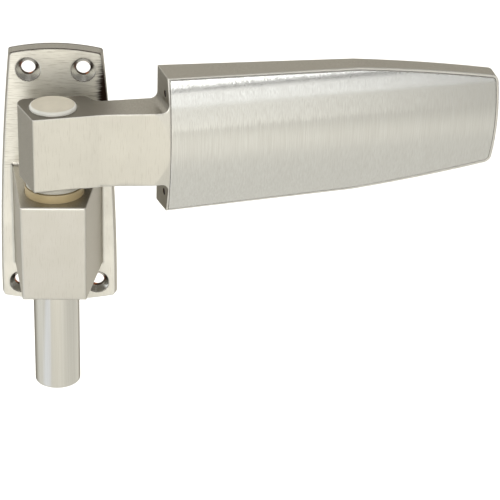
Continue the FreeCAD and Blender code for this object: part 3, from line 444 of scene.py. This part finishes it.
    def screw_holes(self, tree, place):
        """Share of the surface inside the two cover screws' holes, which run along the strap."""
        reaches = []
        for name in ("cover_screw_upper", "cover_screw_lower"):
            corners = [Vector(corner) for corner in NODES[name].bound_box]
            middle = sum(corners, Vector()) / len(corners)
            room = {"Location": middle, "Rotation": (0.0, 0.0, STRAP_TURN), "Scale": SCREW_ROOM}
            spot = add(tree, "Mapping", INTO_CELLS, {"Vector": place, **room})
            reaches.append(add(tree, "VectorMath", {"operation": "LENGTH"}, {0: spot}))
        nearest = add(tree, "Math", {"operation": "MINIMUM"}, {0: reaches[0], 1: reaches[1]})
        return add(tree, "MapRange", {}, {"Value": nearest, "From Min": 1.04, "From Max": 0.98})

    def hole_reach(self, tree, place):
        """Distance from the nearest flange screw axis. The two of a pair mirror each other."""
        split = add(tree, "SeparateXYZ", {}, {"Vector": place}).outputs
        side = add(tree, "Math", {"operation": "ABSOLUTE"}, {0: split["X"]})
        flat = add(tree, "CombineXYZ", {}, {"X": side, "Z": split["Z"]})
        reaches = []
        for name in ("flange_screws_upper", "flange_screws_lower"):
            mount = MOUNTS[name]
            axis = (mount["dims"]["spacing_x_mm"] * MM / 2, 0.0, mount["pos_m"][2])
            reaches.append(add(tree, "VectorMath", {"operation": "DISTANCE"}, {0: flat, 1: axis}))
        return add(tree, "Math", {"operation": "MINIMUM"}, {0: reaches[0], 1: reaches[1]})


class HINGE_OT_cover(Operator):
    """Brushed satin plating on the inset cover"""

    bl_idname = "hinge.cover"
    bl_label = "Finish cover"

    def execute(self, context):
        # Brushed plated sheet: long belt lines run up and down across its crown, so lights smear sideways.
        # The lines are drawn coarser than real ones so that they show.
        kit = context.scene.hinge_finish
        material, tree = blank("satin_plated_cover")
        place = add(tree, "TexCoord").outputs["Object"]
        lines = brush_lines(tree, place, kit.brush_pitch, kit.cover_run, "Z", STRAP_TURN, detail=1.0)
        bands = brush_lines(tree, place, pitch=9 * MM, run=120 * MM, axis="Z", turn=STRAP_TURN)
        brushed = add(tree, "MapRange", {}, {"Value": lines, **NOISE_SPAN})
        tone = add(
            tree,
            "Mix",
            COLOURS,
            {"Factor": brushed, "A": opaque(kit.cover_dark), "B": opaque(kit.cover_light)},
        )
        broad = add(
            tree, "MapRange", {}, {"Value": bands, "From Min": 0.35, "From Max": 0.7, "To Max": 0.4}
        )
        tone = add(tree, "Mix", COLOURS, {"Factor": broad, "A": tone, "B": opaque(kit.cover_dark)})
        broken, edge_turn = worn_edges(tree, kit.edge_break)
        # Painted highlight along the cover's edges.
        tone = add(tree, "Mix", COLOURS, {"Factor": edge_turn, "A": tone, "B": opaque(kit.chrome_edge_highlight)})
        rough = add(tree, "MapRange", {}, {"Value": lines, **NOISE_SPAN, "To Min": 0.19, "To Max": 0.15})
        # Each line nods a little up or down, which frays the ends of reflections.
        nod = add(tree, "MapRange", {}, {"Value": lines, "To Min": -0.015, "To Max": 0.015})
        lift = add(tree, "CombineXYZ", {}, {"Z": nod})
        lean = add(tree, "VectorMath", {"operation": "ADD"}, {0: broken, 1: lift})
        leant = add(tree, "VectorMath", {"operation": "NORMALIZE"}, {0: lean})
        bump = add(
            tree, "Bump", {}, {"Height": lines, "Distance": 0.003 * MM, "Strength": 1.0, "Normal": leant}
        )
        shader = add(
            tree,
            "BsdfPrincipled",
            {},
            {
                "Base Color": tone,
                "Metallic": 1.0,
                "Roughness": rough,
                "Specular Tint": opaque(kit.chrome_graze),
                "Normal": bump,
                "Anisotropic": 0.88,
                "Anisotropic Rotation": UPRIGHT,
                # A tangent takes only a link, so its constant comes from a node.
                "Tangent": add(tree, "CombineXYZ", {}, {"Z": 1.0}),
            },
        )
        add(tree, "OutputMaterial", {}, {"Surface": shader})
        dress(material, "strap_cover")
        return {"FINISHED"}


class HINGE_OT_tube(Operator):
    """Satin plated drawn steel on the spring tube"""

    bl_idname = "hinge.tube"
    bl_label = "Finish tube"

    def execute(self, context):
        # Drawn steel tube, plated: faint draw lines run its whole length, glossier than the castings.
        # The lines are drawn coarser than real ones so that they show.
        kit = context.scene.hinge_finish
        material, tree = blank("plated_drawn_steel")
        place = add(tree, "TexCoord").outputs["Object"]
        lines = brush_lines(tree, place, kit.brush_pitch, run=90 * MM, axis="Z")
        drawn = add(tree, "MapRange", {}, {"Value": lines, **NOISE_SPAN})
        tone = add(
            tree,
            "Mix",
            COLOURS,
            {"Factor": drawn, "A": opaque(kit.tube_dark), "B": opaque(kit.tube_light)},
        )
        broken, edge_turn = worn_edges(tree, kit.edge_break)
        # Painted highlight along the tube's edges.
        tone = add(tree, "Mix", COLOURS, {"Factor": edge_turn, "A": tone, "B": opaque(kit.chrome_edge_highlight)})
        rough = add(tree, "MapRange", {}, {"Value": lines, **NOISE_SPAN, "To Min": 0.16, "To Max": 0.1})
        bump = add(
            tree, "Bump", {}, {"Height": lines, "Distance": 0.003 * MM, "Strength": 1.0, "Normal": broken}
        )
        shader = add(
            tree,
            "BsdfPrincipled",
            {},
            {
                "Base Color": tone,
                "Metallic": 1.0,
                "Roughness": rough,
                # Dark grazing tint: painted shade along the tube's outlines.
                "Specular Tint": opaque(kit.tube_graze_shade),
                "Normal": bump,
            },
        )
        add(tree, "OutputMaterial", {}, {"Surface": shader})
        dress(material, "spring_tube")
        return {"FINISHED"}


class HINGE_OT_mouldings(Operator):
    """Moulded nylon on the two cams and the cap"""

    bl_idname = "hinge.mouldings"
    bl_label = "Finish mouldings"

    def execute(self, context):
        kit = context.scene.hinge_finish
        for name, rgb, rim, rough, node in (
            ("beige_nylon", kit.beige, None, 0.42, "lower_cam"),
            ("grey_nylon", kit.grey, None, 0.45, "upper_cam"),
            ("cream_nylon", kit.cream, kit.cap_rim_highlight, 0.36, "top_cap"),
        ):
            dress(self.nylon(name, rgb, rim, rough), node)
        return {"FINISHED"}

    def nylon(self, name, rgb, rim, rough):
        # Injection-moulded nylon: waxy, faintly cloudy in colour, with a fine spark-eroded mould texture.
        material, tree = blank(name)
        where = add(tree, "TexCoord").outputs
        place = where["Object"]
        cloud = add(tree, "TexNoise", {}, {"Vector": place, "Scale": 1 / (7 * MM), "Detail": 3.0})
        pits = add(tree, "TexNoise", {}, {"Vector": place, "Scale": 1 / (0.35 * MM), "Detail": 2.0})
        share = add(tree, "MapRange", {}, {"Value": cloud, **NOISE_SPAN})
        deep = tuple(c * 0.92 for c in rgb)
        tone = add(tree, "Mix", COLOURS, {"Factor": share, "A": opaque(deep), "B": opaque(rgb)})
        broken, edge_turn = worn_edges(tree, radius=0.3 * MM)
        # Edges are painted paler than the moulding: a painted highlight.
        light = tuple(c + (1 - c) * 0.35 for c in rgb)
        tone = add(tree, "Mix", COLOURS, {"Factor": edge_turn, "A": tone, "B": opaque(light)})
        if rim is not None:
            # The rounded rim is painted paler than the top: a painted highlight.
            rise = add(tree, "SeparateXYZ", {}, {"Vector": where["Normal"]}).outputs["Z"]
            rounded = add(tree, "MapRange", SMOOTH, {"Value": rise, "From Min": 0.97, "From Max": 0.75})
            tone = add(tree, "Mix", COLOURS, {"Factor": rounded, "A": tone, "B": opaque(rim)})
        gloss = add(
            tree,
            "MapRange",
            {},
            {"Value": pits, **NOISE_SPAN, "To Min": rough - 0.06, "To Max": rough + 0.06},
        )
        bump = add(
            tree, "Bump", {}, {"Height": pits, "Distance": 0.02 * MM, "Strength": 0.5, "Normal": broken}
        )
        shader = add(
            tree,
            "BsdfPrincipled",
            {},
            {"Base Color": tone, "Roughness": gloss, "IOR": 1.53, "Normal": bump},
        )
        add(tree, "OutputMaterial", {}, {"Surface": shader})
        return material


class HINGE_OT_inner_metals(Operator):
    """Plain steels and bronze on the spindle, spring, bearings and screws"""

    bl_idname = "hinge.inner_metals"
    bl_label = "Finish inner metals"

    def execute(self, context):
        screws = ("tube_lock_screw", "cover_screw_upper", "cover_screw_lower")
        for name, dark, pale, rough, nodes in (
            ("turned_steel", "7E7E80", "A6A5A3", 0.3, ("spindle", "tube_plug", "plug_pin")),
            ("oiled_spring_steel", "3E4043", "5C5E61", 0.34, ("torsion_spring",)),
            ("sintered_bronze", "8A6A3C", "B08C55", 0.42, ("bearing_bush", "thrust_washer")),
            ("black_oxide_steel", "191919", "2D2C2B", 0.45, screws),
        ):
            dress(self.metal(name, linear(dark), linear(pale), rough), *nodes)
        return {"FINISHED"}

    def metal(self, name, dark, pale, rough):
        # Bare or oiled metal: fine tool marks round the axis and patches of oil that change its gloss.
        material, tree = blank(name)
        place = add(tree, "TexCoord").outputs["Object"]
        turned = add(
            tree, "Mapping", INTO_CELLS, {"Vector": place, "Scale": (6 * MM, 6 * MM, 0.4 * MM)}
        )
        marks = add(tree, "TexNoise", {}, {"Vector": turned, "Scale": 1.0, "Detail": 3.0})
        oil = add(tree, "TexNoise", {}, {"Vector": place, "Scale": 1 / (5 * MM), "Detail": 2.0})
        share = add(tree, "MapRange", {}, {"Value": marks, **NOISE_SPAN})
        tone = add(tree, "Mix", COLOURS, {"Factor": share, "A": opaque(dark), "B": opaque(pale)})
        broken, edge_turn = worn_edges(tree, radius=0.25 * MM)
        bare = tuple(c + (1 - c) * 0.3 for c in pale)
        tone = add(tree, "Mix", COLOURS, {"Factor": edge_turn, "A": tone, "B": opaque(bare)})
        gloss = add(
            tree,
            "MapRange",
            {},
            {"Value": oil, **NOISE_SPAN, "To Min": rough - 0.07, "To Max": rough + 0.07},
        )
        bump = add(
            tree, "Bump", {}, {"Height": marks, "Distance": 0.008 * MM, "Strength": 1.0, "Normal": broken}
        )
        shader = add(
            tree,
            "BsdfPrincipled",
            {},
            {"Base Color": tone, "Metallic": 1.0, "Roughness": gloss, "Normal": bump},
        )
        add(tree, "OutputMaterial", {}, {"Surface": shader})
        return material


class HINGE_OT_stage(Operator):
    """Pale floor, soft lamps, room light and the camera"""

    bl_idname = "hinge.stage"
    bl_label = "Set stage"

    def execute(self, context):
        stage = context.scene.hinge_stage
        low = CAD_BOX[0].z - stage.floor_drop
        self.floor(context, stage, low)
        self.room(context, stage)
        middle = (CAD_BOX[0] + CAD_BOX[1]) / 2
        # A key, pale cards for the metal to mirror, and two lamps that face only the floor.
        for name, place, aim, size, power, code in (
            ("key", (-0.1, -1.3, 0.62), middle, (1.3, 0.9), 1.9, "FFFDF6"),
            ("top_card", (0.0, -0.56, 1.14), middle, (0.9, 0.36), 0.75, "FFFFFF"),
            ("front_card", (0.5, -1.65, 0.106), (0.5, -0.03, 0.106), (2.3, 0.26), 1.15, "FDFEFF"),
            ("low_card", (0.3, -1.68, -0.1), (0.3, -0.03, -0.1), (2.1, 0.67), 2.25, "FFFDF6"),
            ("front_strip", (0.95, -1.29, 0.325), (0.13, -0.03, 0.06), (1.5, 0.1), 1.3, "FFFFFF"),
            ("left_card", (-1.1, 0.25, -0.01), (0.0, 0.25, -0.01), (1.3, 0.52), 3.2, "F4FAFF"),
            ("front_floor", (0.1, -1.85, low + 0.22), (0.1, -1.85, low), (1.7, 2.2), 3.6, "FFF7E6"),
            ("back_floor", (0.18, 1.05, low + 0.22), (0.18, 1.05, low), (0.95, 1.6), 4.4, "FFFFFF"),
            ("low_left_card", (-0.46, -0.43, low + 0.02), (-0.46, -0.43, 0.0), (0.26, 0.54), 0.1, "B3CBFF"),
        ):
            self.softbox(context, name, place, aim, size, power, linear(code))
        bpy.data.lights["key"].spread = stage.key_spread
        self.camera(context, stage)
        context.scene.view_settings.view_transform = "Standard"
        return {"FINISHED"}

    def floor(self, context, stage, low):
        # Plain painted board: even, pale and matt.
        far = stage.floor_reach
        mesh = bpy.data.meshes.new("floor")
        corners = [(-far, -far, low), (far, -far, low), (far, far, low), (-far, far, low)]
        mesh.from_pydata(corners, [], [(0, 1, 2, 3)])
        piece = bpy.data.objects.new("floor", mesh)
        context.scene.collection.objects.link(piece)
        material, tree = blank("painted_floor")
        white = opaque(stage.floor_white)
        shader = add(tree, "BsdfPrincipled", {}, {"Base Color": white, "Roughness": 0.9})
        add(tree, "OutputMaterial", {}, {"Surface": shader})
        mesh.materials.append(material)

    def room(self, context, stage):
        """Room light: pale behind the hinge, fading over it to a dim front."""
        world = bpy.data.worlds.new("room")
        world.use_nodes = True
        tree = world.node_tree
        tree.nodes.clear()
        way = add(tree, "TexCoord").outputs["Generated"]
        depth = add(tree, "SeparateXYZ", {}, {"Vector": way}).outputs["Y"]
        share = add(tree, "MapRange", SMOOTH, {"Value": depth, "From Min": -0.9, "From Max": 0.7})
        tone = add(
            tree,
            "Mix",
            COLOURS,
            {"Factor": share, "A": opaque(stage.room_front), "B": opaque(stage.room_back)},
        )
        sky = add(tree, "Background", {}, {"Color": tone, "Strength": 1.0})
        add(tree, "OutputWorld", {}, {"Surface": sky})
        context.scene.world = world

    def softbox(self, context, name, place, aim, size, power, tint):
        """A flat lamp that looks at a point. It shows in reflections but not to the camera."""
        lamp = bpy.data.lights.new(name, "AREA")
        lamp.shape = "RECTANGLE"
        lamp.size, lamp.size_y = size
        lamp.energy = power
        lamp.color = tint
        piece = bpy.data.objects.new(name, lamp)
        piece.location = place
        piece.rotation_mode = "QUATERNION"
        piece.rotation_quaternion = (Vector(aim) - Vector(place)).to_track_quat("-Z", "Y")
        piece.visible_camera = False
        context.scene.collection.objects.link(piece)

    def camera(self, context, stage):
        """The picture's camera, aimed and then rolled about its view line."""
        lens = bpy.data.cameras.new("camera")
        lens.lens = stage.camera_lens
        lens.clip_start, lens.clip_end = 0.01, 50.0
        piece = bpy.data.objects.new("camera", lens)
        way = Vector(stage.camera_aim) - Vector(stage.camera_place)
        piece.location = stage.camera_place
        piece.rotation_mode = "QUATERNION"
        piece.rotation_quaternion = way.to_track_quat("-Z", "Y") @ Quaternion((0, 0, 1), stage.camera_roll)
        context.scene.collection.objects.link(piece)
        context.scene.camera = piece


class HINGE_PT_panel(Panel):
    """Lists the hinge's finishes and stage"""

    bl_idname = "HINGE_PT_panel"
    bl_label = "Offset hinge"
    bl_space_type = "VIEW_3D"
    bl_region_type = "UI"
    bl_category = "Hinge"

    def draw(self, context):
        for settings in (context.scene.hinge_finish, context.scene.hinge_stage):
            box = self.layout.box()
            for name in settings.__annotations__:
                box.prop(settings, name)
        for step in STEPS:
            self.layout.operator(step.bl_idname)


STEPS = (
    HINGE_OT_castings,
    HINGE_OT_cover,
    HINGE_OT_tube,
    HINGE_OT_mouldings,
    HINGE_OT_inner_metals,
    HINGE_OT_stage,
)
CLASSES = (HingeFinish, HingeStage, *STEPS, HINGE_PT_panel)


def register():
    """Adds the classes and the scene's settings."""
    for item in CLASSES:
        bpy.utils.register_class(item)
    bpy.types.Scene.hinge_finish = PointerProperty(type=HingeFinish)
    bpy.types.Scene.hinge_stage = PointerProperty(type=HingeStage)


def unregister():
    """Takes the settings and the classes out again."""
    del bpy.types.Scene.hinge_stage
    del bpy.types.Scene.hinge_finish
    for item in reversed(CLASSES):
        bpy.utils.unregister_class(item)


def main():
    register()
    bpy.ops.hinge.castings()
    bpy.ops.hinge.cover()
    bpy.ops.hinge.tube()
    bpy.ops.hinge.mouldings()
    bpy.ops.hinge.inner_metals()
    bpy.ops.hinge.stage()


if __name__ == "__main__":
    main()
